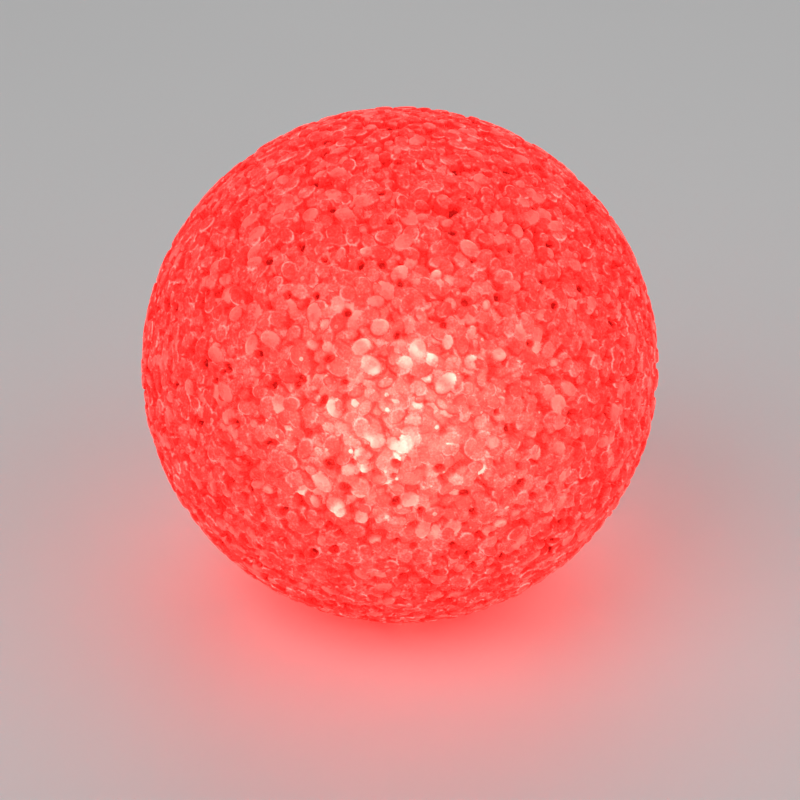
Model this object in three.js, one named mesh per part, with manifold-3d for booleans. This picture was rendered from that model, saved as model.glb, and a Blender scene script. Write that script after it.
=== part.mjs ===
// Floating pool light: a hollow globe of fused plastic granules over a sealed LED capsule with a
// quarter-turn battery cap and a push button underneath.
// Millimetres, +Z up. The origin is the centre of the plane the four feet rest on.
import * as THREE from 'three';
import { mergeVertices } from 'three/addons/utils/BufferGeometryUtils.js';
import Module from 'manifold-3d';

const wasm = await Module();
wasm.setup();

// ---------------------------------------------------------------- fits
const GAP = 0.3;             // clearance between neighbouring pieces
const SEAL_GAP = 0.22;       // clearance on each side of an O-ring

// ---------------------------------------------------------------- overall
const GLOBE_R = 60;          // outside radius of the granule globe
const GLOBE_WALL = 9;        // about two layers of granules
const FLAT_MARGIN = 3;       // how far the globe's flat underside reaches beyond the flange
const FOOT_H = 1.0;          // how far the feet stand out below the capsule
const FOOT_R = 2.7;
const FOOT_SINK = 0.6;       // depth of the recess a foot is glued into

// ---------------------------------------------------------------- capsule
const HOUSING_R = 20;        // outside radius of the capsule wall
const HOUSING_WALL = 1.8;
const FLANGE_EXTRA = 3;      // flange beyond the capsule wall
const PLATE_T = 2.0;         // bottom plate and flange
const COLUMN_R = 2.3;        // screw columns
const SCREW_HOLE_R = 1.1;

// ---------------------------------------------------------------- cells and battery cap
const CELL_R = 5.8;          // button cell, 11.6 mm across
const CELL_H = 5.4;
const CELL_COUNT = 3;
const TUBE_WALL = 1.2;
const HEAD_T = 2.0;          // head of the battery cap
const HEAD_RECESS = 0.2;     // the head sits this far inside the plate
const RING_SEAT = 1.4;       // radial width of the groove of the cap's O-ring
const RING_DEPTH = 1.2;
const NECK_LIP = 0.7;        // neck radius beyond the cell bore
const LUG_OUT = 1.6;         // how far the bayonet lugs stand out from the neck
const LUG_T = 1.2;
const LUG_HALF_DEG = 14;
const LEDGE_T = 1.8;         // wall the lugs lock behind
const TWIST_DEG = 40;        // turn from locked to the entry slots
const SLOT_W = 1.8;          // coin slot
const SLOT_DEPTH = 1.1;
const CONTACT_T = 0.3;       // sheet the contacts are stamped from
const PIN_R = 0.5;
const PIN_PROUD = 0.2;       // contact pins end just above the board
const SPRING_WIRE = 0.35;
const SPRING_RISE = 2.6;
const SPRING_TURNS = 3.5;

// ---------------------------------------------------------------- button and switch
const BUTTON_R = 4.0;
const BUTTON_RECESS = 0.3;
const BUTTON_TRAVEL = 1.2;
const BUTTON_BOSS_H = 5.0;
const BUTTON_FLANGE = 1.2;   // retaining flange beyond the button's bore
const SWITCH_SIZE = 6.2;
const SWITCH_H = 3.4;
const PLUNGER_R = 1.5;
const SWITCH_BOARD_T = 1.2;
const SWITCH_COLUMN_R = 2.0;

// ---------------------------------------------------------------- light engine
const BOARD_T = 1.6;
const LED_R = 2.5;           // 5 mm lamp
const LED_FLANGE = 0.4;
const LED_BODY_H = 8.6;
const DOME_RISE = 12;        // rounded top of the diffuser above its straight wall
const SKIRT_T = 2.0;

// ---------------------------------------------------------------- derived
const flangeR = HOUSING_R + FLANGE_EXTRA;
const flatR = flangeR + FLAT_MARGIN;
const globeZ = FOOT_H + Math.sqrt(GLOBE_R ** 2 - flatR ** 2);
const cavityR = GLOBE_R - GLOBE_WALL;
const plateZ = FOOT_H;
const plateTop = plateZ + PLATE_T;
const innerR = HOUSING_R - HOUSING_WALL;

const tubeR = CELL_R + GAP;
const tubeOut = tubeR + TUBE_WALL;
const neckR = tubeR + NECK_LIP;
const boreR = neckR + GAP;
const lugR = neckR + LUG_OUT;
const channelR = lugR + GAP;
const ringIn = channelR + GAP;
const ringOut = ringIn + RING_SEAT;
const headR = ringOut + 0.5;
const headHoleR = headR + GAP;
const bossOut = headHoleR + 1.4;
const channelOut = channelR + 1.5;
const capX = -(innerR - headHoleR);

const headZ = plateZ + HEAD_RECESS;
const headTop = headZ + HEAD_T;
const seatZ = headTop + GAP;
const channelZ = seatZ + LEDGE_T;
const lugZ = channelZ + GAP;
const channelTop = lugZ + LUG_T + GAP;
const neckTop = channelTop;
const springZ = neckTop + GAP + SPRING_WIRE;
const contactZ = springZ + SPRING_WIRE + GAP;
const tubeZ = contactZ + CONTACT_T + GAP;
const bossTop = tubeZ + 1.2;
const cellZ = springZ + SPRING_RISE + SPRING_WIRE + GAP;
const cellPitch = CELL_H + 0.2;
const positiveZ = cellZ + CELL_COUNT * cellPitch + 0.1;
const tubeTop = positiveZ + CONTACT_T + GAP;
const tubeLid = tubeTop + TUBE_WALL;
const tabR = channelR - 0.1;

const boardZ = tubeLid + 1.3;
const boardTop = boardZ + BOARD_T;
const columnTop = boardZ - GAP;
const skirtR = innerR - GAP;
const skirtIn = skirtR - SKIRT_T;
const boardR = skirtIn - 0.5;
const columnAt = boardR - 0.2 - COLUMN_R;
const housingTop = boardTop + 0.4;
const domeZ = housingTop + GAP;
const shoulderZ = domeZ + 2.0;
const domeWallTop = domeZ + 6.7;
const domeIn = HOUSING_R - HOUSING_WALL;
const skirtZ = boardZ - 2.0;

const buttonZ = plateZ + BUTTON_RECESS;
const buttonHole = BUTTON_R + GAP;
const buttonBossTop = plateTop + BUTTON_BOSS_H;
const buttonFlangeZ = buttonBossTop + GAP;
const buttonFlangeR = BUTTON_R + BUTTON_FLANGE;
const buttonX = innerR - buttonFlangeR - 0.5;
const buttonTop = buttonFlangeZ + 1.7;
const plungerZ = buttonTop + GAP;
const switchZ = plungerZ + BUTTON_TRAVEL + GAP;
const plungerTop = switchZ + 1.3;
const switchBoardZ = switchZ + SWITCH_H + GAP;
const switchScrewX = buttonX - 0.5;
const switchScrewY = buttonFlangeR + SWITCH_COLUMN_R + GAP;

const footAt = (flangeR - FOOT_R - 0.9) / Math.sqrt(2);

const ledZ = boardTop + 0.6;
const ledRing = (LED_R + LED_FLANGE + GAP / 2) * 2 / Math.sqrt(3) + 0.05;
const reflectorZ = shoulderZ + GAP;

// ---------------------------------------------------------------- helpers
const group = new THREE.Group();
group.name = 'floating_pool_light';

/** Adds one named piece with its own material. */
function piece(name, geometry, color, roughness, metalness = 0) {
  const material = new THREE.MeshStandardMaterial({ color, roughness, metalness });
  const mesh = new THREE.Mesh(geometry, material);
  mesh.name = name;
  group.add(mesh);
  return mesh;
}

/** A solid of revolution about Z from [radius, height] pairs listed from the bottom up. */
function turned(profile, segments = 32) {
  const points = profile.map(([r, z]) => new THREE.Vector2(r, z));
  return new THREE.LatheGeometry(points, segments).rotateX(Math.PI / 2);
}

/** A ring of revolution: the profile closes on itself. */
function ring(profile, segments = 32) {
  return turned([...profile, profile[0]], segments);
}

/** An O-ring lying flat. */
function oRing(radius, wire, z, segments = 32) {
  return new THREE.TorusGeometry(radius, wire, 6, segments).translate(0, 0, z);
}

/** A plain cylinder from z0 to z1. */
function rod(radius, z0, z1, segments = 24) {
  return new THREE.CylinderGeometry(radius, radius, z1 - z0, segments)
    .rotateX(Math.PI / 2).translate(0, 0, (z0 + z1) / 2);
}

/** A box from its low corner and its size. */
function block(x, y, z, sx, sy, sz) {
  return new THREE.BoxGeometry(sx, sy, sz).translate(x + sx / 2, y + sy / 2, z + sz / 2);
}

/** A ring sector between two radii, two angles in degrees and two heights. */
function sector(r0, r1, a0, a1, z0, z1) {
  const shape = new THREE.Shape();
  const from = THREE.MathUtils.degToRad(a0);
  const to = THREE.MathUtils.degToRad(a1);
  shape.absarc(0, 0, r1, from, to, false);
  shape.absarc(0, 0, r0, to, from, true);
  shape.closePath();
  const options = { depth: z1 - z0, bevelEnabled: false, curveSegments: 8 };
  return new THREE.ExtrudeGeometry(shape, options).translate(0, 0, z0);
}

/** Points of an arc from one angle to another, in degrees, as [x, y] pairs. */
function arc(cx, cy, rx, ry, from, to, steps) {
  const points = [];
  for (let i = 0; i <= steps; i += 1) {
    const t = THREE.MathUtils.degToRad(from + (to - from) * i / steps);
    points.push([cx + rx * Math.cos(t), cy + ry * Math.sin(t)]);
  }
  return points;
}

/** Turns a geometry into an exact solid for cutting and joining. */
function solid(geometry) {
  const copy = geometry.clone();
  copy.deleteAttribute('normal');
  copy.deleteAttribute('uv');
  const merged = mergeVertices(copy, 1e-4);
  const mesh = new wasm.Mesh({
    numProp: 3,
    vertProperties: new Float32Array(merged.attributes.position.array),
    triVerts: new Uint32Array(merged.index.array),
  });
  mesh.merge();
  return new wasm.Manifold(mesh);
}

/** Joins the first list of geometries and cuts the second list out of the result. */
function carve(added, removed = []) {
  let body = solid(added[0]);
  for (const geometry of added.slice(1)) {
    body = body.add(solid(geometry));
  }
  for (const geometry of removed) {
    body = body.subtract(solid(geometry));
  }
  const mesh = body.getMesh();
  const result = new THREE.BufferGeometry();
  result.setAttribute('position', new THREE.BufferAttribute(mesh.vertProperties, 3));
  result.setIndex(new THREE.BufferAttribute(mesh.triVerts, 1));
  return result;
}

/** The spot at a radius and an angle in degrees. */
function polar(radius, degrees) {
  const t = THREE.MathUtils.degToRad(degrees);
  return [radius * Math.cos(t), radius * Math.sin(t)];
}

// ---------------------------------------------------------------- the globe
/** The hollow ball, open underneath for the capsule, with a seat for its flange. */
function granuleGlobe() {
  const holeR = HOUSING_R + GAP;
  const seatR = flangeR + GAP;
  const seatTop = plateTop + GAP;
  const low = THREE.MathUtils.radToDeg(Math.asin((FOOT_H - globeZ) / GLOBE_R));
  const inLow = -THREE.MathUtils.radToDeg(Math.acos(holeR / cavityR));
  const outside = arc(0, globeZ, GLOBE_R, GLOBE_R, 90, low, 20);
  const inside = arc(0, globeZ, cavityR, cavityR, inLow, 90, 14);
  outside[0][0] = 0;
  inside[inside.length - 1][0] = 0;
  const profile = [...outside, [seatR, plateZ], [seatR, seatTop], [holeR, seatTop], ...inside];
  return turned(profile.reverse(), 40);
}

// ---------------------------------------------------------------- the capsule
/** Places of the screw columns of the circuit board. */
const columnAngles = [60, 120, 240, 300];

/** The cup: plate, flange, wall, battery tube with its bayonet, button boss and screw columns. */
function baseHousing() {
  const cup = turned([
    [0, plateZ], [flangeR - 0.4, plateZ], [flangeR, plateZ + 0.4], [flangeR, plateTop],
    [HOUSING_R, plateTop], [HOUSING_R, housingTop], [innerR, housingTop], [innerR, plateTop],
    [0, plateTop],
  ], 40);
  const collar = rod(bossOut, plateZ + 1, seatZ + 1.5, 40).translate(capX, 0, 0);
  const boss = rod(channelOut, plateZ + 1, bossTop, 36).translate(capX, 0, 0);
  const tube = rod(tubeOut, plateZ + 1, tubeLid, 36).translate(capX, 0, 0);
  const buttonBoss = rod(buttonHole + 2.4, plateZ + 1, buttonBossTop, 28).translate(buttonX, 0, 0);
  const added = [cup, collar, boss, tube, buttonBoss];
  for (const angle of columnAngles) {
    const [x, y] = polar(columnAt, angle);
    added.push(rod(COLUMN_R, plateZ + 1, columnTop, 16).translate(x, y, 0));
  }
  for (const side of [-1, 1]) {
    const column = rod(SWITCH_COLUMN_R, plateZ + 1, switchBoardZ - GAP, 16);
    added.push(column.translate(switchScrewX, side * switchScrewY, 0));
  }
  const trim = ring([
    [HOUSING_R, plateTop], [HOUSING_R + 9, plateTop], [HOUSING_R + 9, housingTop + 2],
    [HOUSING_R, housingTop + 2],
  ], 40);
  const removed = [
    trim,
    rod(headHoleR, plateZ - 1, seatZ, 40).translate(capX, 0, 0),
    rod(boreR, plateZ - 1, tubeZ, 36).translate(capX, 0, 0),
    rod(tubeR, plateZ - 1, tubeTop, 36).translate(capX, 0, 0),
    rod(PIN_R + GAP, plateZ, tubeLid + 1, 12).translate(capX, 0, 0),
    rod(PIN_R + GAP, contactZ, bossTop + 1, 12).translate(capX + tabR, 0, 0),
    block(capX, -1.6, contactZ - GAP, tabR + 1.1, 3.2, tubeZ - contactZ + GAP),
    rod(buttonHole, plateZ - 1, buttonBossTop + 1, 32).translate(buttonX, 0, 0),
    ring([
      [buttonHole - 0.2, plateTop + 1.2], [buttonHole + 0.9, plateTop + 1.2],
      [buttonHole + 0.9, plateTop + 2.8], [buttonHole - 0.2, plateTop + 2.8],
    ], 32).translate(buttonX, 0, 0),
  ];
  const play = 3;
  for (const turn of [0, 180]) {
    const from = turn - TWIST_DEG - LUG_HALF_DEG - play;
    const to = turn + LUG_HALF_DEG + play;
    removed.push(sector(boreR - 0.5, channelR, from, to, channelZ, channelTop).translate(capX, 0, 0));
    const slotTo = turn - TWIST_DEG + LUG_HALF_DEG + play;
    removed.push(sector(boreR - 0.5, channelR, from, slotTo, seatZ - 0.5, channelTop).translate(capX, 0, 0));
  }
  for (const angle of columnAngles) {
    const [x, y] = polar(columnAt, angle);
    removed.push(rod(SCREW_HOLE_R, columnTop - 7, columnTop + 1, 12).translate(x, y, 0));
  }
  for (const side of [-1, 1]) {
    const hole = rod(SCREW_HOLE_R, switchBoardZ - 6, switchBoardZ + 1, 12);
    removed.push(hole.translate(switchScrewX, side * switchScrewY, 0));
  }
  for (const [sx, sy] of footSpots) {
    removed.push(rod(FOOT_R + GAP, plateZ - 1, plateZ + FOOT_SINK, 24).translate(sx, sy, 0));
  }
  return carve(added, removed);
}

/** The four feet sit at the corners of a square. */
const footSpots = [[1, 1], [-1, 1], [-1, -1], [1, -1]].map(([x, y]) => [x * footAt, y * footAt]);

/** A rubber disc with a rounded lower edge, glued into its recess. */
function footPad() {
  const top = plateZ + FOOT_SINK - GAP;
  return turned([
    [0, 0], [FOOT_R - 0.5, 0], [FOOT_R - 0.15, 0.15], [FOOT_R, 0.5], [FOOT_R, top], [0, top],
  ], 20);
}

/** The frosted cover: a skirt inside the housing, a shoulder on its rim and a rounded top. */
function diffuserDome() {
  const grooveR = skirtR - 1.0;
  const outside = arc(0, domeWallTop, HOUSING_R, DOME_RISE, 0, 90, 8);
  const inside = arc(0, domeWallTop, domeIn, DOME_RISE - HOUSING_WALL, 90, 0, 7);
  outside[8][0] = 0;
  inside[0][0] = 0;
  const profile = [
    ...inside, [domeIn, shoulderZ], [skirtIn, shoulderZ], [skirtIn, skirtZ], [skirtR, skirtZ],
    [skirtR, skirtZ + 1.0], [grooveR, skirtZ + 1.0], [grooveR, skirtZ + 2.6], [skirtR, skirtZ + 2.6],
    [skirtR, domeZ], [HOUSING_R, domeZ], ...outside,
  ];
  return turned(profile, 32);
}

/** The O-ring between the dome's skirt and the housing. */
function domeSeal() {
  const grooveR = skirtR - 1.0;
  const wire = (innerR - grooveR) / 2 - SEAL_GAP;
  return oRing((innerR + grooveR) / 2, wire, skirtZ + 1.8);
}

// ---------------------------------------------------------------- light engine
const ledSpots = [0, 120, 240].map((angle) => polar(ledRing, angle));

/** The round board with its screw and pin holes. */
function circuitBoard() {
  const disc = rod(boardR, boardZ, boardTop, 32);
  const removed = [
    rod(PIN_R + GAP, boardZ - 1, boardTop + 1, 12).translate(capX, 0, 0),
    rod(PIN_R + GAP, boardZ - 1, boardTop + 1, 12).translate(capX + tabR, 0, 0),
  ];
  for (const angle of columnAngles) {
    const [x, y] = polar(columnAt, angle);
    removed.push(rod(SCREW_HOLE_R, boardZ - 1, boardTop + 1, 12).translate(x, y, 0));
  }
  for (const [x, y] of ledSpots) {
    for (const side of [-1.27, 1.27]) {
      removed.push(rod(0.55, boardZ - 1, boardTop + 1, 10).translate(x, y + side, 0));
    }
  }
  return carve([disc], removed);
}

/** A 5 mm lamp: flange, round body, domed top and two leads through the board. */
function led(x, y) {
  const top = ledZ + LED_BODY_H;
  const domed = arc(0, top - LED_R, LED_R, LED_R, 0, 90, 4);
  domed[4][0] = 0;
  const body = turned([
    [0, ledZ], [LED_R + LED_FLANGE, ledZ], [LED_R + LED_FLANGE, ledZ + 1], [LED_R, ledZ + 1], ...domed,
  ], 16);
  const leads = [-1.27, 1.27].map((side) => rod(0.25, boardZ - 0.9, ledZ + 0.5, 6).translate(0, side, 0));
  return carve([body, ...leads]).translate(x, y, 0);
}

/** The white dish over the board, with a hole for each lamp and a raised rim. */
function reflector() {
  const outer = domeIn - GAP;
  const dish = turned([
    [0, reflectorZ], [outer, reflectorZ], [outer, reflectorZ + 3], [outer - 1, reflectorZ + 3],
    [outer - 4, reflectorZ + 1.1], [0, reflectorZ + 1.1],
  ], 32);
  const holes = ledSpots.map(([x, y]) => (
    rod(LED_R + GAP, reflectorZ - 1, reflectorZ + 4, 20).translate(x, y, 0)
  ));
  return carve([dish], holes);
}

/** The driver chip with its two rows of leads. */
function controllerChip(x, y, z) {
  const added = [block(-2.5, -1.95, 0.1, 5, 3.9, 1.4)];
  for (let i = 0; i < 4; i += 1) {
    added.push(block(-2.1 + i * 1.27, -2.9, 0, 0.4, 5.8, 0.5));
  }
  return carve(added).translate(x, y, z);
}

/** A small can capacitor hanging under the board, with a grooved edge. */
function capacitor(x, y) {
  const top = boardZ - GAP;
  const low = top - 6.5;
  return turned([
    [0, low], [2.2, low], [2.5, low + 0.3], [2.5, top - 1.5], [2.25, top - 1.2], [2.5, top - 0.9],
    [2.5, top], [0, top],
  ], 20).translate(x, y, 0);
}

/** A pan-head screw with a straight slot. */
function screw(headRadius, headHeight, shankRadius, length, z) {
  const body = turned([
    [0, z - length], [shankRadius - 0.3, z - length], [shankRadius, z - length + 0.5], [shankRadius, z],
    [headRadius, z], [headRadius, z + headHeight * 0.6], [headRadius * 0.7, z + headHeight],
    [0, z + headHeight],
  ], 12);
  const slot = block(-headRadius - 1, -0.2, z + headHeight - 0.45, 2 * headRadius + 2, 0.4, 1);
  return carve([body], [slot]);
}

// ---------------------------------------------------------------- power
/** A button cell standing on its smaller, negative face. */
function batteryCell(index) {
  const z = cellZ + index * cellPitch;
  return turned([
    [0, z], [CELL_R - 1.1, z], [CELL_R - 0.8, z + 0.5], [CELL_R - 0.25, z + 0.55], [CELL_R, z + 0.8],
    [CELL_R, z + CELL_H - 0.3], [CELL_R - 0.3, z + CELL_H], [0, z + CELL_H],
  ], 24).translate(capX, 0, 0);
}

/** The disc above the cells and its pin to the board. */
function positiveContact() {
  const topOfPin = boardTop + PIN_PROUD;
  return turned([
    [0, positiveZ], [CELL_R - 1.2, positiveZ], [CELL_R - 1.2, positiveZ + CONTACT_T],
    [PIN_R, positiveZ + CONTACT_T], [PIN_R, topOfPin], [0, topOfPin],
  ], 20).translate(capX, 0, 0);
}

/** The ring the cap's spring presses on, with a tab and a pin to the board. */
function negativeContact() {
  const washer = ring([
    [CELL_R - 1.0, contactZ], [boreR - GAP, contactZ], [boreR - GAP, contactZ + CONTACT_T],
    [CELL_R - 1.0, contactZ + CONTACT_T],
  ], 28);
  const tab = block(boreR - 1, -1.1, contactZ, tabR - boreR + 1.8, 2.2, CONTACT_T);
  const pin = rod(PIN_R, contactZ, boardTop + PIN_PROUD, 10).translate(tabR, 0, 0);
  return carve([washer, tab, pin]).translate(capX, 0, 0);
}

/** The quarter-turn cap: head with coin slot and O-ring groove, neck, lugs and a spring spigot. */
function batteryCap() {
  const body = turned([
    [0, headZ], [headR - 0.5, headZ], [headR, headZ + 0.5], [headR, headTop], [ringOut, headTop],
    [ringOut, headTop - RING_DEPTH], [ringIn, headTop - RING_DEPTH], [ringIn, headTop],
    [neckR, headTop], [neckR, neckTop - 0.3], [neckR - 0.3, neckTop], [2.2, neckTop],
    [2.2, neckTop + 1.2], [0, neckTop + 1.2],
  ], 36);
  const added = [body];
  for (const turn of [0, 180]) {
    added.push(sector(neckR - 1, lugR, turn - LUG_HALF_DEG, turn + LUG_HALF_DEG, lugZ, lugZ + LUG_T));
  }
  const slot = block(-SLOT_W / 2, -7, headZ - 1, SLOT_W, 14, SLOT_DEPTH + 1);
  return carve(added, [slot]).translate(capX, 0, 0);
}

/** The O-ring under the cap's head. */
function capSeal() {
  const floor = headTop - RING_DEPTH;
  const wire = (seatZ - floor) / 2 - SEAL_GAP;
  return oRing((ringIn + ringOut) / 2, wire, (seatZ + floor) / 2).translate(capX, 0, 0);
}

/** A coil that lies flat under the contact ring, winds in through it and climbs to the first cell. */
class ConeCoil extends THREE.Curve {
  getPoint(t, target = new THREE.Vector3()) {
    const angle = t * SPRING_TURNS * 2 * Math.PI;
    const inward = Math.min(1, Math.max(0, (t - 0.28) / 0.22));
    const climb = Math.max(0, (t - 0.5) / 0.5);
    const radius = CELL_R - 0.5 - 1.4 * inward - 1.0 * climb;
    return target.set(radius * Math.cos(angle), radius * Math.sin(angle), springZ + SPRING_RISE * climb);
  }
}

/** Sweeps a round wire along a curve. */
function wire(curve, radius, steps, sides = 6) {
  const shape = new THREE.Shape();
  for (let i = 0; i < sides; i += 1) {
    const t = 2 * Math.PI * i / sides;
    const x = radius * Math.cos(t);
    const y = radius * Math.sin(t);
    if (i === 0) {
      shape.moveTo(x, y);
    } else {
      shape.lineTo(x, y);
    }
  }
  shape.closePath();
  return new THREE.ExtrudeGeometry(shape, { steps, extrudePath: curve, bevelEnabled: false });
}

// ---------------------------------------------------------------- switch
/** The push button: a stepped plunger with a finger dimple and a retaining flange. */
function powerButton() {
  return turned([
    [0, buttonZ + 0.5], [1.6, buttonZ + 0.35], [2.9, buttonZ], [BUTTON_R - 0.4, buttonZ],
    [BUTTON_R, buttonZ + 0.4], [BUTTON_R, buttonFlangeZ], [buttonFlangeR, buttonFlangeZ],
    [buttonFlangeR, buttonFlangeZ + 0.8], [PLUNGER_R, buttonFlangeZ + 0.8], [PLUNGER_R, buttonTop],
    [0, buttonTop],
  ], 24).translate(buttonX, 0, 0);
}

/** The O-ring the button slides through. */
function buttonSeal() {
  const outer = buttonHole + 0.9;
  const wireR = (outer - BUTTON_R) / 2 - SEAL_GAP;
  return oRing((outer + BUTTON_R) / 2, wireR, plateTop + 2.0, 28).translate(buttonX, 0, 0);
}

/** The switch body with the blind hole its plunger slides in. */
function tactSwitch() {
  const half = SWITCH_SIZE / 2;
  const body = block(buttonX - half, -half, switchZ, SWITCH_SIZE, SWITCH_SIZE, SWITCH_H);
  const hole = rod(PLUNGER_R + GAP, switchZ - 1, switchZ + SWITCH_H - 0.5, 16).translate(buttonX, 0, 0);
  return carve([body], [hole]);
}

/** The small board above the switch. */
function switchBoard() {
  const half = switchScrewY + 1.3;
  const width = SWITCH_SIZE;
  const board = block(buttonX - width / 2, -half, switchBoardZ, width, 2 * half, SWITCH_BOARD_T);
  const holes = [-1, 1].map((side) => (
    rod(SCREW_HOLE_R, switchBoardZ - 1, switchBoardZ + SWITCH_BOARD_T + 1, 12)
      .translate(switchScrewX, side * switchScrewY, 0)
  ));
  return carve([board], holes);
}

/** A wire from the switch board up to the main board. */
function switchWire(side) {
  const low = switchBoardZ + SWITCH_BOARD_T + GAP;
  const high = boardZ - GAP;
  const curve = new THREE.CatmullRomCurve3([
    new THREE.Vector3(buttonX - 1.5, side * 2.2, low),
    new THREE.Vector3(buttonX - 1.5, side * 2.4, low + (high - low) * 0.3),
    new THREE.Vector3(buttonX - 2.6, side * 4.2, low + (high - low) * 0.6),
    new THREE.Vector3(buttonX - 3.0, side * 4.4, high),
  ]);
  return wire(curve, 0.5, 10, 8);
}

// ---------------------------------------------------------------- assembly
piece('granule_globe', granuleGlobe(), 0xf52d28, 0.35);
piece('base_housing', baseHousing(), 0xe9e7e2, 0.45);
piece('diffuser_dome', diffuserDome(), 0xf3d9d4, 0.5);
piece('dome_seal', domeSeal(), 0x1c1c1e, 0.75);
piece('reflector', reflector(), 0xf5f4f0, 0.4);
piece('circuit_board', circuitBoard(), 0x1d5a35, 0.5);
piece('led_red', led(...ledSpots[0]), 0xff3a30, 0.15);
piece('led_green', led(...ledSpots[1]), 0xcfe8cf, 0.15);
piece('led_blue', led(...ledSpots[2]), 0xc9d6ee, 0.15);
piece('controller_chip', controllerChip(-0.6, -10.6, boardTop + GAP), 0x18181a, 0.6);
piece('capacitor', capacitor(3.2, -6.9), 0x20242c, 0.35);
for (let i = 0; i < 3; i += 1) {
  const chip = block(ledRing + LED_R + 2.1, -3.4 + i * 2.6, boardTop + GAP, 3.2, 1.6, 0.6);
  piece(`resistor_${i + 1}`, chip, 0x2a2a2c, 0.5);
}
columnAngles.forEach((angle, i) => {
  const [x, y] = polar(columnAt, angle);
  const part = screw(1.7, 1.1, 0.75, 8, boardTop + GAP).translate(x, y, 0);
  piece(`board_screw_${i + 1}`, part, 0xb9bcc0, 0.3, 0.9);
});
piece('positive_contact', positiveContact(), 0xc9b98a, 0.35, 0.9);
piece('negative_contact', negativeContact(), 0xc9ccd0, 0.35, 0.9);
for (let i = 0; i < CELL_COUNT; i += 1) {
  piece(`battery_cell_${i + 1}`, batteryCell(i), 0xc4c6c8, 0.28, 0.95);
}
piece('battery_cap', batteryCap(), 0xe4e2dc, 0.45);
piece('cap_seal', capSeal(), 0x1c1c1e, 0.75);
piece('contact_spring', wire(new ConeCoil(), SPRING_WIRE, 56).translate(capX, 0, 0), 0xc9ccd0, 0.3, 0.9);
piece('power_button', powerButton(), 0x8f1d1b, 0.5);
piece('button_seal', buttonSeal(), 0x1c1c1e, 0.75);
piece('switch_plunger', rod(PLUNGER_R, plungerZ, plungerTop, 16).translate(buttonX, 0, 0), 0x26262a, 0.5);
piece('tact_switch', tactSwitch(), 0x2e2e33, 0.5);
piece('switch_board', switchBoard(), 0x1d5a35, 0.5);
[-1, 1].forEach((side, i) => {
  const z = switchBoardZ + SWITCH_BOARD_T + GAP;
  const part = screw(1.5, 0.9, 0.75, 5, z).translate(switchScrewX, side * switchScrewY, 0);
  piece(`switch_screw_${i + 1}`, part, 0xb9bcc0, 0.3, 0.9);
});
piece('switch_wire_a', switchWire(-1), 0xb3221e, 0.55);
piece('switch_wire_b', switchWire(1), 0x1f1f22, 0.55);
footSpots.forEach(([x, y], i) => {
  piece(`foot_pad_${i + 1}`, footPad().translate(x, y, 0), 0xdedcd6, 0.8);
});

export default group;
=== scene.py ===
"""Looks for a floating pool light: a glowing ball of fused granules over a sealed light capsule."""

import math

import bpy
import numpy as np
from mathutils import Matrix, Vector


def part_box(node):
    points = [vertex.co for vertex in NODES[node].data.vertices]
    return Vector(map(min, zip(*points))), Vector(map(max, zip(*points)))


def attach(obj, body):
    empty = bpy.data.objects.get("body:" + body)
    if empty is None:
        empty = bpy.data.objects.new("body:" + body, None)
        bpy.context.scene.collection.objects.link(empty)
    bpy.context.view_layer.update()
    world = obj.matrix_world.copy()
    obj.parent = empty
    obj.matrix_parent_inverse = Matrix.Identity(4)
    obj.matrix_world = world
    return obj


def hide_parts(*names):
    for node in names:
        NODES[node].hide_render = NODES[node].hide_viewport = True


bl_info = {
    "name": "Floating Pool Light",
    "version": (1, 0, 0),
    "blender": (4, 5, 0),
    "location": "3D View > Sidebar > Pool Light",
    "description": "Builds the fused granule globe, the finishes of the capsule and the stage",
    "category": "Object",
}

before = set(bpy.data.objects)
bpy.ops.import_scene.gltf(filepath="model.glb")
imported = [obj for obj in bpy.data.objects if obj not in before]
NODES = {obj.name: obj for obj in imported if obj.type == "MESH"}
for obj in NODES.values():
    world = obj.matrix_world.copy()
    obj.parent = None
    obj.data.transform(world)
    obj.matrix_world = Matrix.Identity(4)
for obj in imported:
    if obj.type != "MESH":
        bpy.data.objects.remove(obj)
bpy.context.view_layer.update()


def span(node):
    """Lowest and highest corner of a CAD node, as arrays."""
    low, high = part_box(node)
    return np.array(low, float), np.array(high, float)


GLOBE_LOW, GLOBE_HIGH = span("granule_globe")
HOUSING_LOW, HOUSING_HIGH = span("base_housing")
DOME_LOW, DOME_HIGH = span("diffuser_dome")
LED_LOW, LED_HIGH = span("led_red")
GLOBE_RADIUS = 0.0600
GLOBE_CENTRE = float(GLOBE_HIGH[2]) - GLOBE_RADIUS
GLOBE_FLAT = float(GLOBE_LOW[2])
FLANGE_RADIUS = float(HOUSING_HIGH[0])
GLOBE_WALL = 0.009
SEAT_RADIUS = FLANGE_RADIUS + 0.0003
HOLE_RADIUS = FLANGE_RADIUS - 0.0027
SEAT_TOP = GLOBE_FLAT + 0.0023
HOLE_TOP = GLOBE_CENTRE - math.sqrt((GLOBE_RADIUS - GLOBE_WALL) ** 2 - HOLE_RADIUS ** 2)

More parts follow.
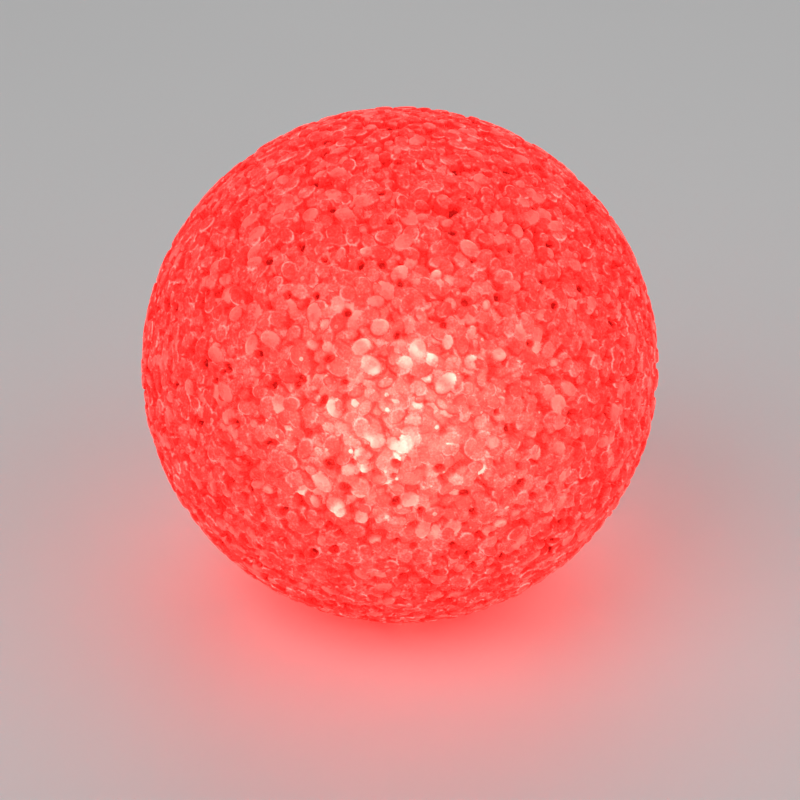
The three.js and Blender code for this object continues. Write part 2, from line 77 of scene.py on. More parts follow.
# A layer of granules has a count, a jitter (sideways push on a sphere of radius 1), a size (half a
# granule's width), a vary (spread of the sizes), a stretch (greatest length for its width), the depth
# of the granules' middles, an uneven (spread of the depths), a rise, a lean (spread of the slopes) and
# a missing (share left out). Lengths are in metres, except that the size in OUTER_LAYERS is in half
# usual widths. The outer skin has a top layer with some missing, over a full one that shows there.
OUTER_LAYERS = (
    dict(count=6600, jitter=0.016, size=0.90, vary=0.26, stretch=1.45, depth=0.00160,
         uneven=0.0009, rise=0.0017, lean=0.06, missing=0.16),
    dict(count=6600, jitter=0.02, size=1.0, vary=0.2, stretch=1.3, depth=0.0026,
         uneven=0.0006, rise=0.0017, lean=0.16, missing=0.0),
)
INNER_LAYER = dict(count=2600, jitter=0.02, size=0.0021, vary=0.2, stretch=1.3, depth=0.0018,
                   uneven=0.0004, rise=0.0026, lean=0.1, missing=0.0)
INNER_ROWS, INNER_COLUMNS = 240, 400
LARGEST = 1.4                # limit of a granule's size against its layer's
NARROWEST = 0.82             # least width of a granule against its size
RISE_RANGE = (0.85, 1.15)    # a granule's rise against its layer's
OFF_AXIS = (0.31, 0.17, 0.93)   # any fixed direction, to start the turns of granules from

SKIN_DEPTH = 0.0030          # the deepest that the outer skin goes between granules
MOULD_INSET = 0.00012        # the mould's surface below the globe's radius
MOULD_SOFT = 0.00022         # how gently the granules bend flat against the mould

PIT_HALF_WIDTH = (0.0005, 0.0011)
PIT_DEPTH = (0.0018, 0.0030)
PIT_STRETCH = 1.6            # greatest length of a pit for its width
PIT_SPREAD = 0.05            # sideways push of the pits' places on a sphere of radius 1
PIT_BOWL = 0.0022            # rise of a pit's bowl from its floor to its edge
PIT_REACH = 1.5              # how far out the bowl is worked, in half lengths
POLE_MARGIN = 0.03           # pits keep this far from the pole, on a sphere of radius 1
PIT_FADE = 1.25              # squared ellipse distance at which a pit's mark ends
SPARED_HEIGHT = 0.70         # granules sitting higher than this have no pits

CREASE_DEPTH = (0.0012, 0.0026)   # from the first depth to the second, a point turns into a gap that is painted in shade
CREASE_SLOPE = (0.25, 1.4)        # and from the first slope to the second
DEPTH_SHARE, SLOPE_SHARE = 0.5, 0.6
CREASE_LIMIT = 0.8           # painted gap shade of the deepest crease; only pits go on to 1
PIT_GAP = 1.3                # a pit's mark times this is its painted gap shade
CLEAR_HEIGHT = 0.80          # granules that sit higher than this
CLEAR_SHADE = 0.45           # and have a shade above this are clear
CLEAR_FAR_SIDE = 0.35        # how clear they are on their painted dark side
FAINT_CLEAR = 0.25           # how clear the other granules are at most

LAMP_MIDDLE = ((LED_LOW + LED_HIGH) / 2).tolist()
GLOW_SPOT = [*LAMP_MIDDLE[:2], float(DOME_LOW[2] + (DOME_HIGH[2] - DOME_LOW[2]) * 0.3)]
GLOW_REACH = 0.05            # distance from the lamp at which the painted glow of the inside has its plain brightness

FLOOR_HALF, FLOOR_POINTS = 3.0, 25
LIGHT_SIZE = 0.8
LENS_SENSOR = 36.0           # millimetres
BALL_SHARE = 0.649           # share of the half view that the globe fills
LOOK_DOWN = 0.0863           # how far below the globe's middle the camera aims, in half views


# ------------------------------------------------------------------ settings
class PoolLightGlobe(bpy.types.PropertyGroup):
    """Sizes of the globe and its granules."""
    radius: bpy.props.FloatProperty(
        name="Globe radius", description="Outside radius of the moulded ball",
        default=GLOBE_RADIUS, unit="LENGTH")
    wall: bpy.props.FloatProperty(
        name="Wall", description="Thickness of the fused wall", default=GLOBE_WALL, unit="LENGTH")
    granule: bpy.props.FloatProperty(
        name="Granule size", description="Usual width of one granule", default=0.0037, unit="LENGTH")
    columns: bpy.props.IntProperty(
        name="Columns", description="Mesh columns round the whole globe", default=1200)
    rows: bpy.props.IntProperty(
        name="Rows", description="Mesh rows from the top to the flat underneath", default=640)
    sectors: bpy.props.IntProperty(
        name="Sectors", description="Meshes the outer skin is divided into", default=8)
    pits: bpy.props.IntProperty(
        name="Pits", description="Small holes left between granules", default=700)
    seed: bpy.props.IntProperty(name="Seed", description="Seed of the granule scatter", default=7)


class PoolLightGlow(bpy.types.PropertyGroup):
    """Colours and strengths of the light."""
    deep: bpy.props.FloatVectorProperty(
        name="Deep red", description="Light of the gaps between granules", subtype="COLOR",
        default=(0.40, 0.003, 0.003))
    body: bpy.props.FloatVectorProperty(
        name="Body red", description="Light of an ordinary granule", subtype="COLOR",
        default=(1.0, 0.030, 0.028))
    pale: bpy.props.FloatVectorProperty(
        name="Pale red", description="Light of granule rims and specks", subtype="COLOR",
        default=(1.0, 0.36, 0.32))
    lamp: bpy.props.FloatVectorProperty(
        name="Lamp", description="Light of the frosted dome at its brightest", subtype="COLOR",
        default=(1.0, 0.62, 0.56))
    lamp_strength: bpy.props.FloatProperty(
        name="Lamp strength", description="Strength of the frosted dome's light", default=12.0)
    wall_strength: bpy.props.FloatProperty(
        name="Wall strength", description="Strength of the light on the inside of the wall", default=2.3)


class PoolLightStage(bpy.types.PropertyGroup):
    """Camera and studio."""
    elevation: bpy.props.FloatProperty(
        name="Elevation", description="Camera height above the horizon", subtype="ANGLE",
        default=math.radians(27.0))
    distance: bpy.props.FloatProperty(
        name="Distance", description="Camera to the middle of the globe", default=0.48, unit="LENGTH")
    key: bpy.props.FloatProperty(
        name="Key light", description="Power of the main soft light", default=3.2, unit="POWER")
    air: bpy.props.FloatProperty(
        name="Surround", description="Strength of the even light from all round", default=0.38)


# ------------------------------------------------------------------ mesh helpers
def make_object(name, points, faces, attributes=None):
    """A smooth-shaded mesh object at the origin from points, faces and values for each point.

    Each face is a row of four point numbers; where two neighbours are the same it is a triangle."""
    mesh = bpy.data.meshes.new(name)
    kept = faces != np.roll(faces, -1, axis=1)
    sides = kept.sum(1)
    corners = faces[kept]
    mesh.vertices.add(len(points))
    mesh.vertices.foreach_set("co", np.ascontiguousarray(points, np.float32).ravel())
    mesh.loops.add(len(corners))
    mesh.loops.foreach_set("vertex_index", np.ascontiguousarray(corners, np.int32))
    mesh.polygons.add(len(faces))
    mesh.polygons.foreach_set("loop_start", (np.cumsum(sides) - sides).astype(np.int32))
    mesh.polygons.foreach_set("use_smooth", np.ones(len(faces), bool))
    for key, values in (attributes or {}).items():
        layer = mesh.attributes.new(key, "FLOAT_VECTOR", "POINT")
        layer.data.foreach_set("vector", np.ascontiguousarray(values, np.float32).ravel())
    mesh.update(calc_edges=True)
    mesh.validate()
    thing = bpy.data.objects.new(name, mesh)
    bpy.context.scene.collection.objects.link(thing)
    return thing


def grid_faces(rows, columns, ring=False):
    """Quads of a grid of points in row order. A ring also joins the last column to the first."""
    row = np.arange(rows - 1)[:, None] * columns
    column = np.arange(columns if ring else columns - 1)[None, :]
    left, right = (row + column).ravel(), (row + (column + 1) % columns).ravel()
    return np.stack([left, left + columns, right + columns, right], 1)


def make_cap(name, points, ring=False, inward=False, attributes=None):
    """A mesh object from a grid of points whose whole first row is one point, the pole.

    Only one point of that row is kept, so the faces round the pole are triangles."""
    rows, columns = points.shape[:2]
    spare = columns - 1
    faces = np.maximum(grid_faces(rows, columns, ring) - spare, 0)
    if inward:
        faces = faces[:, ::-1]
    values = {key: grid.reshape(-1, 3)[spare:] for key, grid in (attributes or {}).items()}
    return make_object(name, points.reshape(-1, 3)[spare:], faces, values)


def smooth_step(low, high, value):
    """0 below low, 1 above high and a smooth cubic in between."""
    t = np.clip((value - low) / (high - low), 0, 1)
    return t * t * (3 - 2 * t)


def scatter(count, spread, rng):
    """Unit vectors in a golden-angle spiral over the sphere, each pushed sideways at random."""
    k = np.arange(count) + 0.5
    z = 1 - 2 * k / count
    turn = k * math.pi * (3 - math.sqrt(5))
    flat = np.sqrt(1 - z * z)
    found = np.stack([flat * np.cos(turn), flat * np.sin(turn), z], 1)
    found += rng.normal(size=(count, 3)) * spread
    return found / np.linalg.norm(found, axis=1)[:, None]


def draw_granule(layer, radius, rng):
    """One granule's shape, the facts that its colour uses, and whether it is left out.

    The shape is its half length and half width, the height of its middle, its rise, its lean along
    both and its turn. The facts are its shade, how high it sits and the turn of its bright side."""
    size = layer["size"] * min(LARGEST, rng.lognormal(0, layer["vary"]))
    long = size * rng.uniform(1.0, layer["stretch"])
    wide = size * rng.uniform(NARROWEST, 1.0)
    sunk = rng.uniform()
    middle = radius - layer["depth"] - sunk * layer["uneven"]
    rise = layer["rise"] * rng.uniform(*RISE_RANGE)
    lean = rng.normal(size=2) * layer["lean"]
    turn = rng.uniform(0, 2 * math.pi)
    facts = (rng.uniform(), 1 - sunk, rng.uniform(0, 2 * math.pi))
    missing = rng.uniform() < layer["missing"]
    return (long, wide, middle, rise, lean, turn), facts, missing


def grid_window(theta, phi, way, reach):
    """First row, last row and columns of the grid within an angle of a direction."""
    at = math.acos(max(-1, min(1, way[2])))
    low = int(np.searchsorted(theta, at - reach))
    high = int(np.searchsorted(theta, at + reach))
    narrow = max(1e-3, min(math.sin(max(at - reach, 0)), math.sin(min(at + reach, math.pi))))
    step = phi[1] - phi[0]
    whole = len(phi) // 2
    half = whole if at < reach * 1.2 else min(whole, int(reach / narrow / step) + 1)
    start = int(round(math.atan2(way[1], way[0]) / step))
    picked = np.arange(start - half, start + half + (0 if half == whole else 1)) % len(phi)
    return low, high, picked


def granule_dome(theta, phi, way, shape, radius):
    """One granule over a patch of the grid: its height, its two ellipse distances and where it is.

    The height is the middle, plus the lean, plus the rise times the root of one minus the fourth
    power of the ellipse distance. Distances are measured on the plane that touches the sphere."""
    long, wide, middle, rise, lean, turn = shape
    t = theta[:, None]
    p = phi[None, :]
    x = np.sin(t) * np.cos(p)
    y = np.sin(t) * np.sin(p)
    z = np.cos(t) + 0 * p
    facing = x * way[0] + y * way[1] + z * way[2]
    side = np.cross(way, OFF_AXIS)
    side /= np.linalg.norm(side)
    up = np.cross(way, side)
    one = math.cos(turn) * side + math.sin(turn) * up
    two = np.cross(way, one)
    u = (x * one[0] + y * one[1] + z * one[2]) * radius / facing / long
    v = (x * two[0] + y * two[1] + z * two[2]) * radius / facing / wide
    near = u * u + v * v
    height = middle + lean[0] * u * long + lean[1] * v * wide
    height = height + rise * np.sqrt(np.clip(1 - near ** 2, 0, 1))
    return height, u, v, (near < 1) & (facing > 0.5)


def granule_relief(theta, phi, radius, layers, rng):
    """Height of the upper envelope of many granules over a sphere: the highest granule wins.

    theta (rows) and phi (columns) give the directions.
    Returns the height, the winner's number, the place across the winner and each granule's facts."""
    rows, columns = len(theta), len(phi)
    best = np.full((rows, columns), -1.0)
    owner = np.zeros((rows, columns), np.int32)
    across = np.zeros((rows, columns, 2), np.float32)
    facts = []
    for layer in layers:
        for way in scatter(layer["count"], layer["jitter"], rng):
            shape, fact, missing = draw_granule(layer, radius, rng)
            facts.append(fact)
            if missing:
                continue
            low, high, picked = grid_window(theta, phi, way, max(shape[:2]) / radius)
            if low >= high:
                continue
            height, u, v, inside = granule_dome(theta[low:high], phi[picked], way, shape, radius)
            index = np.ix_(np.arange(low, high), picked)
            was = best[index]
            wins = inside & (height > was)
            best[index] = np.where(wins, height, was)
            owner[index] = np.where(wins, len(facts) - 1, owner[index])
            spot = across[index]
            spot[wins] = np.stack([u, v], -1)[wins]
            across[index] = spot
    return best, owner, across, np.array(facts)


def press_flat(height, limit, soft):
    """Heights held under a limit by a soft bend.

    Each height loses the softness times the logarithm of one plus e to its excess over the softness."""
    over = (height - limit) / soft
    return np.where(over > -8, height - soft * np.log1p(np.exp(np.clip(over, -30, 30))), height)


def sink_pits(theta, phi, radius, height, spared, rng, count):
    """Rounded pits between granules: inside each small ellipse the height is capped by a bowl.

    The bowl is a floor below the skin plus the fourth power of the ellipse distance. A pit whose
    middle lands on a spared point is left out.
    Returns the new height and how far inside a pit each point is."""
    rows, columns = height.shape
    step = phi[1] - phi[0]
    inside = np.zeros((rows, columns), np.float32)
    for way in scatter(count, PIT_SPREAD, rng):
        wide = rng.uniform(*PIT_HALF_WIDTH)
        long = wide * rng.uniform(1.0, PIT_STRETCH)
        floor = radius - rng.uniform(*PIT_DEPTH)
        turn = rng.uniform(0, math.pi)
        at = math.acos(max(-1, min(1, way[2])))
        heading = math.atan2(way[1], way[0])
        reach = long * PIT_REACH / radius
        low, high = np.searchsorted(theta, [at - reach, at + reach])
        if low >= high or math.sin(at) < POLE_MARGIN:
            continue
        start = int(round(heading / step))
        if spared[(low + high) // 2, start % columns]:
            continue
        half = int(reach / math.sin(at) / step) + 2
        picked = np.arange(start - half, start + half + 1) % columns
        down = (theta[low:high][:, None] - at) * radius
        over = (phi[picked][None, :] - heading + math.pi) % (2 * math.pi) - math.pi
        over = over * math.sin(at) * radius
        u = (down * math.cos(turn) + over * math.sin(turn)) / long
        v = (over * math.cos(turn) - down * math.sin(turn)) / wide
        near = u * u + v * v
        index = np.ix_(np.arange(low, high), picked)
        bowl = floor + PIT_BOWL * near ** 2
        height[index] = np.minimum(height[index], bowl)
        inside[index] = np.maximum(inside[index], np.clip(PIT_FADE - near, 0, 1))
    return height, inside


def globe_skin(settings):
    """The outer skin as arrays on a grid of rows and columns: height and what each point shows.

    The height is the granules' upper envelope, pressed flat by a soft limit just inside the mould's
    sphere, pierced by small pits, and cut off by the plane of the flat underneath. Each point also
    keeps its place across its granule, its nearness to the granule's painted bright side, its
    granule's shade, and its painted gap shade, clearness and how high its granule sits."""
    rng = np.random.default_rng(settings.seed)
    radius, unit = settings.radius, settings.granule / 2
    drop = GLOBE_CENTRE - GLOBE_FLAT
    theta = np.linspace(0.0, math.pi - math.atan(SEAT_RADIUS / drop), settings.rows)
    phi = np.linspace(0, 2 * math.pi, settings.columns, endpoint=False)
    layers = [dict(layer, size=unit * layer["size"]) for layer in OUTER_LAYERS]
    height, owner, across, facts = granule_relief(theta, phi, radius, layers, rng)
    height = press_flat(np.maximum(height, radius - SKIN_DEPTH), radius - MOULD_INSET, MOULD_SOFT)
    shade, high, bright_side = np.moveaxis(facts[owner], -1, 0)
    height, pit = sink_pits(theta, phi, radius, height, high > SPARED_HEIGHT, rng, settings.pits)
    plane = (drop / np.maximum(-np.cos(theta), 1e-3))[:, None]
    height = np.minimum(height, plane)
    height[-1] = plane[-1]
    place = np.sqrt((across ** 2).sum(-1))
    # nearness to each granule's bright side, a painted highlight side turned at random
    side = 0.5 + 0.5 * np.cos(np.arctan2(across[..., 1], across[..., 0]) - bright_side)
    clear = (high > CLEAR_HEIGHT) * (shade > CLEAR_SHADE)
    # clear granules are painted clearer towards their bright side
    clear = clear * (CLEAR_FAR_SIDE + (1 - CLEAR_FAR_SIDE) * side)
    granule = np.stack([place, side, shade], -1)
    gap_shade = painted_gap_shade(theta, phi, radius, height, pit)
    relief = np.stack([gap_shade, np.maximum(clear, FAINT_CLEAR * shade ** 2), high], -1)
    return dict(theta=theta, phi=phi, height=height, granule=granule, relief=relief)


def painted_gap_shade(theta, phi, radius, height, pit):
    """How much each point lies in a gap, which is painted in shade: by its depth and its steepness, and
    fully in a pit.
    """
    down, over = np.gradient(height, theta, phi)
    slope = np.hypot(down, over / np.maximum(np.sin(theta), 0.02)[:, None]) / radius
    gap_shade = smooth_step(*CREASE_DEPTH, radius - height) * DEPTH_SHARE
    gap_shade = np.minimum(gap_shade + SLOPE_SHARE * smooth_step(*CREASE_SLOPE, slope), CREASE_LIMIT)
    return np.maximum(gap_shade, np.clip(pit * PIT_GAP, 0, 1))


def globe_points(skin):
    """The skin's rows as points, carried on up the seat and the hole of the capsule."""
    theta, phi, height = skin["theta"], skin["phi"], skin["height"]
    ring = np.sin(theta)[:, None] * height
    lift = np.maximum(GLOBE_CENTRE + np.cos(theta)[:, None] * height, GLOBE_FLAT)
    ring[0, :] = 0.0
    lift[0, :] = lift[0].mean()
    inner_ring = np.array([SEAT_RADIUS, HOLE_RADIUS, HOLE_RADIUS])[:, None] + 0 * phi
    inner_lift = np.array([SEAT_TOP, SEAT_TOP, HOLE_TOP])[:, None] + 0 * phi
    ring = np.vstack([ring, inner_ring])
    lift = np.vstack([lift, inner_lift])
    return np.stack([ring * np.cos(phi), ring * np.sin(phi), lift], -1)


def outer_skin(settings):
    """Builds the outer skin as equal sectors whose borders share the same points."""
    skin = globe_skin(settings)
    points = globe_points(skin)
    extra = len(points) - len(skin["granule"])
    granule, relief = (np.vstack([skin[key], np.repeat(skin[key][-1:], extra, 0)])
                       for key in ("granule", "relief"))
    width = settings.columns // settings.sectors
    made = []
    for i in range(settings.sectors):
        columns = np.arange(i * width, (i + 1) * width + 1) % settings.columns
        values = {"granule": granule[:, columns], "relief": relief[:, columns]}
        made.append(make_cap(f"granule_skin_{i + 1}", points[:, columns], attributes=values))
    return made


def inner_skin(settings):
    """The lumpy inside of the wall, seen through the granules, its faces towards the hollow.

    It is a relief of granules turned inside out, and its last row meets the rim of the hole."""
    rng = np.random.default_rng(settings.seed + 1)
    radius = settings.radius - settings.wall
    theta = np.linspace(0, math.pi - math.asin(HOLE_RADIUS / radius), INNER_ROWS)
    phi = np.linspace(0, 2 * math.pi, INNER_COLUMNS, endpoint=False)
    lumps = granule_relief(theta, phi, radius, [INNER_LAYER], rng)[0]
    height = 2 * radius - np.maximum(lumps, radius - INNER_LAYER["depth"])
    height[-1] = radius
    ring = np.sin(theta)[:, None] * height
    ring[0, :] = 0.0
    lift = GLOBE_CENTRE + np.cos(theta)[:, None] * height
    lift[0, :] = lift[0].mean()
    points = np.stack([ring * np.cos(phi), ring * np.sin(phi), lift], -1)
    return make_cap("granule_inside", points, ring=True, inward=True)


# ------------------------------------------------------------------ shader helpers
class Tree:
    """Short forms for building a node tree."""

    def __init__(self, tree):
        self.tree = tree

    def add(self, kind, settings=None, **inputs):
        """A node of that kind. Inputs take values or sockets, by name or by number (i0, i1 and on)."""
        node = self.tree.nodes.new(kind)
        for key, value in (settings or {}).items():
            setattr(node, key, value)
        for key, value in inputs.items():
            self.put(node, key, value)
        return node

    def put(self, node, key, value):
        """Sets or links one input, by name or by number."""
        socket = node.inputs[int(key[1:])] if key[0] == "i" and key[1:].isdigit() else node.inputs[key]
        if isinstance(value, bpy.types.NodeSocket):
            self.tree.links.new(value, socket)
        elif isinstance(value, (tuple, list)) and len(value) == 3 and socket.type == "RGBA":
            socket.default_value = (*value, 1.0)
        else:
            socket.default_value = value

    def math(self, operation, *values):
        """The result of one arithmetic operation."""
        node = self.tree.nodes.new("ShaderNodeMath")
        node.operation = operation
        for i, value in enumerate(values):
            self.put(node, f"i{i}", value)
        return node.outputs[0]

    def point_values(self, name):
        """The three values that a mesh keeps for each point under that name."""
        stored = self.add("ShaderNodeAttribute", settings={"attribute_name": name})
        return self.add("ShaderNodeSeparateXYZ", Vector=stored.outputs["Vector"]).outputs

    def mix(self, factor, one, two):
        """A blend of two colours."""
        node = self.tree.nodes.new("ShaderNodeMix")
        node.data_type = "RGBA"
        self.put(node, "i0", factor)
        self.put(node, "i6", one)
        self.put(node, "i7", two)
        return node.outputs[2]

    def remap(self, value, low, high, to_low, to_high):
        """A clamped change of range."""
        node = self.tree.nodes.new("ShaderNodeMapRange")
        for i, number in enumerate((value, low, high, to_low, to_high)):
            self.put(node, f"i{i}", number)
        return node.outputs[0]

    def ramp(self, value, stops):
        """A colour ramp from (place, colour) pairs."""
        node = self.tree.nodes.new("ShaderNodeValToRGB")
        while len(node.color_ramp.elements) < len(stops):
            node.color_ramp.elements.new(0.5)
        for element, (place, colour) in zip(node.color_ramp.elements, stops):
            element.position = place
            element.color = (*colour, 1.0)
        self.put(node, "i0", value)
        return node.outputs[0]


def start_group(name, inputs, outputs):
    """A new shader group with float inputs and the given outputs, and its tree helper."""
    group = bpy.data.node_groups.new(name, "ShaderNodeTree")
    for key, default in inputs:
        socket = group.interface.new_socket(name=key, in_out="INPUT", socket_type="NodeSocketFloat")
        socket.default_value = default
    for key, kind in outputs:
        group.interface.new_socket(name=key, in_out="OUTPUT", socket_type=kind)
    tree = Tree(group)
    entry = tree.add("NodeGroupInput")
    leave = tree.add("NodeGroupOutput")
    return group, tree, entry, leave


def grain_group():
    """Fine moulded grain: two sizes of noise, as a mask and as a normal."""
    group, tree, entry, leave = start_group(
        "fine_grain", [("Scale", 900.0), ("Depth", 0.1)],
        [("Mask", "NodeSocketFloat"), ("Normal", "NodeSocketVector")])
    where = tree.add("ShaderNodeTexCoord").outputs["Object"]
    small = tree.add("ShaderNodeTexNoise", Vector=where, Scale=entry.outputs["Scale"], Detail=3.0)
    large = tree.add("ShaderNodeTexNoise", Vector=where, Scale=60.0, Detail=2.0)
    height = tree.math("ADD", small.outputs[0], tree.math("MULTIPLY", large.outputs[0], 0.4))
    bump = tree.add("ShaderNodeBump", Height=height, Strength=entry.outputs["Depth"], Distance=0.0002)
    tree.put(leave, "Mask", large.outputs[0])
    tree.put(leave, "Normal", bump.outputs[0])
    return group


def wear_and_highlight_group():
    """Rubbed edges, partly wear and partly a painted highlight: where the rounded normal turns away from
    the true one, broken up by noise.
    """
    group, tree, entry, leave = start_group(
        "edge_wear_and_highlight", [("Width", 0.0004), ("Amount", 0.6)], [("Mask", "NodeSocketFloat")])
    where = tree.add("ShaderNodeTexCoord").outputs["Object"]
    rounded = tree.add("ShaderNodeBevel", settings={"samples": 4}, Radius=entry.outputs["Width"])
    true = tree.add("ShaderNodeNewGeometry").outputs["Normal"]
    agree = tree.add("ShaderNodeVectorMath", settings={"operation": "DOT_PRODUCT"},
                     i0=rounded.outputs[0], i1=true)
    bare = tree.remap(agree.outputs["Value"], 0.86, 1.0, 1.0, 0.0)
    patchy = tree.add("ShaderNodeTexNoise", Vector=where, Scale=260.0, Detail=3.0)
    broken = tree.math("MULTIPLY", bare, tree.remap(patchy.outputs[0], 0.4, 0.62, 0.2, 1.0))
    tree.put(leave, "Mask", tree.math("MULTIPLY", broken, entry.outputs["Amount"]))
    return group


def dust_group():
    """Thin dust and water marks in soft blotches."""
    group, tree, entry, leave = start_group(
        "dust_marks", [("Scale", 90.0), ("Amount", 0.3)], [("Mask", "NodeSocketFloat")])
    where = tree.add("ShaderNodeTexCoord").outputs["Object"]
    blotch = tree.add("ShaderNodeTexNoise", Vector=where, Scale=entry.outputs["Scale"],
                      Detail=5.0, Roughness=0.65)
    soft = tree.remap(blotch.outputs[0], 0.45, 0.7, 0.0, 1.0)
    tree.put(leave, "Mask", tree.math("MULTIPLY", soft, entry.outputs["Amount"]))
    return group


GROUPS = {}


def use_group(tree, name, **inputs):
    """Places a shared group, building it the first time."""
    makers = {"fine_grain": grain_group, "edge_wear_and_highlight": wear_and_highlight_group, "dust_marks": dust_group}
    if name not in GROUPS:
        GROUPS[name] = makers[name]()
    node = tree.tree.nodes.new("ShaderNodeGroup")
    node.node_tree = GROUPS[name]
    for key, value in inputs.items():
        tree.put(node, key, value)
    return node


def start_material(name):
    """A new node material with its Principled shader and the tree helper."""
    material = bpy.data.materials.new(name)
    material.use_nodes = True
    tree = Tree(material.node_tree)
    shader = material.node_tree.nodes["Principled BSDF"]
    return material, tree, shader


def finish_material(name, colour, rough, metal=0.0, grain=0.1, scale=900.0, wear_and_highlight=0.5, dust=0.25,
                    tint=None, coat=0.0, specular=0.5):
    """A moulded, rubber or metal finish: colour varied by blotches, edges made lighter as wear and
    painted highlight, grain and dust.
    """
    material, tree, shader = start_material(name)
    grainy = use_group(tree, "fine_grain", Scale=scale, Depth=grain)
    worn_and_lit = use_group(tree, "edge_wear_and_highlight", Amount=wear_and_highlight)
    dusty = use_group(tree, "dust_marks", Amount=dust)
    dark = tuple(c * 0.86 for c in colour)
    light = tuple(min(1.0, c * 1.25 + 0.04) for c in colour)
    shade = tree.mix(tree.remap(grainy.outputs["Mask"], 0.35, 0.65, 0.0, 1.0), dark, colour)
    # edges made lighter: partly wear, partly a painted highlight
    shade = tree.mix(worn_and_lit.outputs["Mask"], shade, tint or light)
    shade = tree.mix(dusty.outputs["Mask"], shade, (0.55, 0.53, 0.50))
    tree.put(shader, "Base Color", shade)
    rough_out = tree.math("ADD", tree.math("MULTIPLY", grainy.outputs["Mask"], 0.16), rough - 0.08)
    rough_out = tree.math("ADD", rough_out, tree.math("MULTIPLY", dusty.outputs["Mask"], 0.3))
    tree.put(shader, "Roughness", rough_out)
    tree.put(shader, "Normal", grainy.outputs["Normal"])
    shader.inputs["Metallic"].default_value = metal
    shader.inputs["Coat Weight"].default_value = coat
    shader.inputs["Specular IOR Level"].default_value = specular
    return material


def middled(tree, value, share):
    """A value around one half, made a value around nought and scaled."""
    return tree.math("MULTIPLY", tree.math("SUBTRACT", value, 0.5), share)


def painted_rim_light(tree, place, side, other, blotch):
    """A painted line of light near a granule's edge, stronger on its bright side, and a faint painted
    lean of light across it.

    The line is a bell of the place across the granule, pushed in and out by the blotches."""
    offset = middled(tree, blotch, 0.08)
    edge = tree.math("DIVIDE", tree.math("SUBTRACT", tree.math("ADD", place, offset), 0.75), 0.085)
    bell = tree.math("POWER", 2.718, tree.math("MULTIPLY", tree.math("MULTIPLY", edge, edge), -1.0))
    strong = tree.remap(other, 0.2, 0.95, 0.2, 0.6)
    strong = tree.math("MULTIPLY", tree.math("MULTIPLY", side, side), strong)
    line = tree.math("MULTIPLY", bell, tree.math("ADD", strong, 0.17))
    lean = tree.math("MULTIPLY", tree.math("SUBTRACT", side, 0.5), place)
    return tree.math("ADD", line, tree.math("MULTIPLY", lean, 0.16))


def painted_light_dots(tree, where):
    """Round painted spots of light, of several sizes, in about half of the cells, like light caught in
    bubbles in the plastic.
    """
    cell = tree.add("ShaderNodeTexVoronoi", Vector=where, Scale=400.0)
    chosen = tree.add("ShaderNodeSeparateXYZ", Vector=cell.outputs["Color"]).outputs[0]
    width = tree.remap(chosen, 0.45, 1.0, 0.03, 0.2)
    dot = tree.remap(cell.outputs["Distance"], width, tree.math("ADD", width, 0.05), 1.0, 0.0)
    return tree.math("MULTIPLY", dot, tree.remap(chosen, 0.45, 0.46, 0.0, 1.0))


